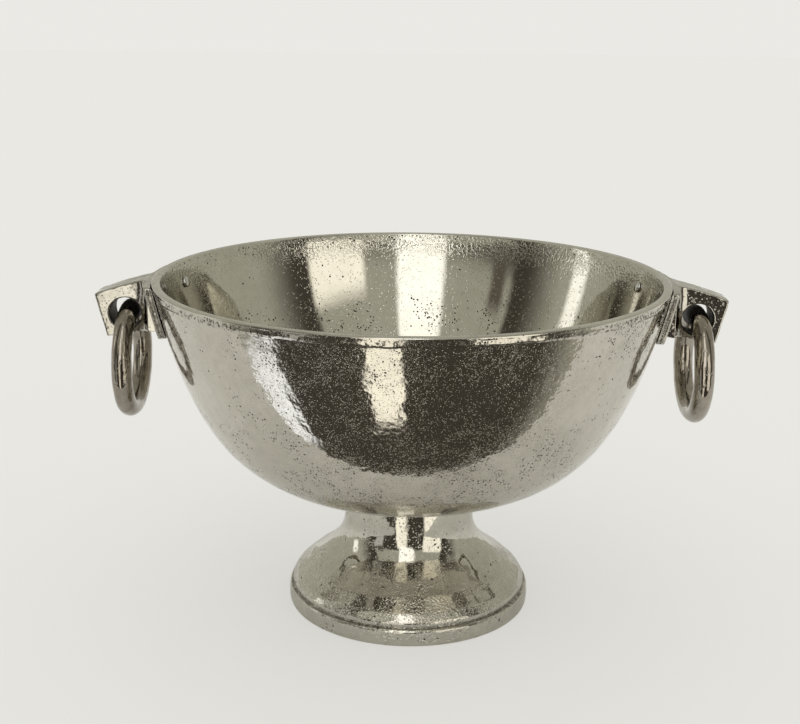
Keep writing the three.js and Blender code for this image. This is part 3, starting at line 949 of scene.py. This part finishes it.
FLOOR_LIGHT = (0.99, 0.985, 0.965)
BENCH_PAINT = (0.83, 0.825, 0.80)
BENCH_GLOW = 0.58  # share of glow in what the camera sees of the bench
BENCH_HALF = 15

DARK_ROOM = (0.07, BROWN)
PALE_WALL = (0.5, OLIVE)
CEILING = (0.42, OLIVE)
SIDE_WALL = (62, 90)  # bearings between which the dark room gives way to the pale walls
CEILING_RISE = (60, 84)

# Soft panels and flags. Each is (left, right, bottom, top, level, tint): bearings in degrees
# from -Y towards +X, heights in degrees above the horizon. A later one lies over an earlier one.
PANELS = (
    (-54, 54, 20, 90, 0.5, OLIVE),  # pale ceiling over the dark room
    (-82, -70, -54, -38, 1.5, COOL),  # low window, left
    (-56, -46, -32, 8, 0.6, WHITE),  # doorway, left
    (-20, -6, -54, 10, 1.6, CREAM),  # main window
    (-16, 6, 12, 72, 1.8, WHITE),  # overhead strip
    (28, 54, -32, 20, 1.5, CREAM),  # wide window, right
    (-98, -93, 8, 22, 1.6, WHITE),  # narrow window, far left
    (-50, -46, 10, 22, 0.14, BROWN),  # flag, left
)
PANEL_SIDE_SOFT = 4
PANEL_END_SOFT = 6


def lit(level, tint):
    """A light's colour: its tint at a level."""
    return (*[level * part for part in tint], 1)


def light_room():
    """Pale backdrop for the eye, even light for the bench, and soft panels for the metal."""
    world = bpy.data.worlds.new("Studio")
    bpy.context.scene.world = world
    world.use_nodes = True
    tree = world.node_tree
    tree.nodes.clear()
    place = add(tree, "ShaderNodeTexCoord").outputs["Generated"]
    way = add(tree, "ShaderNodeSeparateXYZ", {0: place}).outputs
    ahead = maths(tree, "MULTIPLY", way["Y"], -1.0)
    degrees = 180 / math.pi
    bearing = maths(tree, "MULTIPLY", maths(tree, "ARCTAN2", way["X"], ahead), degrees)
    rise = maths(tree, "MULTIPLY", maths(tree, "ARCSINE", way["Z"]), degrees)

    beside = spread(tree, maths(tree, "ABSOLUTE", bearing), *SIDE_WALL)
    room = blend(tree, beside, lit(*DARK_ROOM), lit(*PALE_WALL))
    room = blend(tree, spread(tree, rise, *CEILING_RISE), room, lit(*CEILING))
    for left, right, bottom, top, level, tint in PANELS:
        wide = within(tree, bearing, left, right, PANEL_SIDE_SOFT)
        tall = within(tree, rise, bottom, top, PANEL_END_SOFT)
        room = blend(tree, maths(tree, "MULTIPLY", wide, tall), room, lit(level, tint))
    path = add(tree, "ShaderNodeLightPath").outputs
    even = blend(tree, path["Is Diffuse Ray"], room, (*FLOOR_LIGHT, 1))
    seen = blend(tree, path["Is Camera Ray"], even, (*PALE, 1))
    glow = add(tree, "ShaderNodeBackground", {"Color": seen, "Strength": 1.0})
    output = add(tree, "ShaderNodeOutputWorld")
    tree.links.new(glow.outputs[0], output.inputs["Surface"])


def make_bench():
    """Plain pale floor, more than half of it glow to the eye, so that its shadows stay soft.

    Mirrored rays see it unlit by that glow, and pass through it in front of the bench's edge.
    """
    paint = bpy.data.materials.new("Pale Bench")
    paint.use_nodes = True
    tree = paint.node_tree
    tree.nodes.clear()
    place = add(tree, "ShaderNodeTexCoord").outputs["Object"]
    y = add(tree, "ShaderNodeSeparateXYZ", {0: place}).outputs["Y"]
    past = maths(tree, "LESS_THAN", y, SHELF_EDGE)
    path = add(tree, "ShaderNodeLightPath").outputs
    flat = add(tree, "ShaderNodeBsdfDiffuse", {"Color": (*BENCH_PAINT, 1)})
    glow = add(tree, "ShaderNodeEmission", {"Color": (*PALE, 1), "Strength": 1.0})
    soft = add(tree, "ShaderNodeMixShader", {
        0: BENCH_GLOW, 1: flat.outputs[0], 2: glow.outputs[0],
    })
    seen = add(tree, "ShaderNodeMixShader", {
        0: path["Is Camera Ray"], 1: flat.outputs[0], 2: soft.outputs[0],
    })
    clear = add(tree, "ShaderNodeBsdfTransparent")
    let_through = maths(tree, "MULTIPLY", past, path["Is Glossy Ray"])
    mixed = add(tree, "ShaderNodeMixShader", {
        0: let_through, 1: seen.outputs[0], 2: clear.outputs[0],
    })
    output = add(tree, "ShaderNodeOutputMaterial")
    tree.links.new(mixed.outputs[0], output.inputs["Surface"])
    shape = bmesh.new()
    bmesh.ops.create_grid(shape, x_segments=1, y_segments=1, size=BENCH_HALF)
    mesh = bpy.data.meshes.new("bench")
    shape.to_mesh(mesh)
    shape.free()
    mesh.materials.append(paint)
    bench = bpy.data.objects.new("bench", mesh)
    bpy.context.scene.collection.objects.link(bench)


CAMERA_PLACE = (0, -0.9776, 0.4625)
CAMERA_YAW, CAMERA_PITCH, CAMERA_ROLL = -0.529, 11.226, 0.536  # degrees
CAMERA_LENS, CAMERA_SENSOR, CAMERA_SHIFT = 57.58, 36, -0.11625


def place_camera():
    yaw, pitch, roll = (math.radians(d) for d in (CAMERA_YAW, CAMERA_PITCH, CAMERA_ROLL))
    flat = math.cos(pitch)
    forward = Vector((math.sin(yaw) * flat, math.cos(yaw) * flat, -math.sin(pitch)))
    level = Vector((math.cos(yaw), -math.sin(yaw), 0))
    upright = level.cross(forward)
    right = math.cos(roll) * level + math.sin(roll) * upright
    up = -math.sin(roll) * level + math.cos(roll) * upright
    turn = Matrix((right, up, -forward)).transposed()
    data = bpy.data.cameras.new("camera")
    data.lens = CAMERA_LENS
    data.sensor_width = CAMERA_SENSOR
    data.shift_y = CAMERA_SHIFT
    camera = bpy.data.objects.new("camera", data)
    camera.matrix_world = Matrix.Translation(CAMERA_PLACE) @ turn.to_4x4()
    bpy.context.scene.collection.objects.link(camera)
    bpy.context.scene.camera = camera


light_room()
make_bench()
place_camera()
bpy.context.scene.view_settings.view_transform = "Standard"
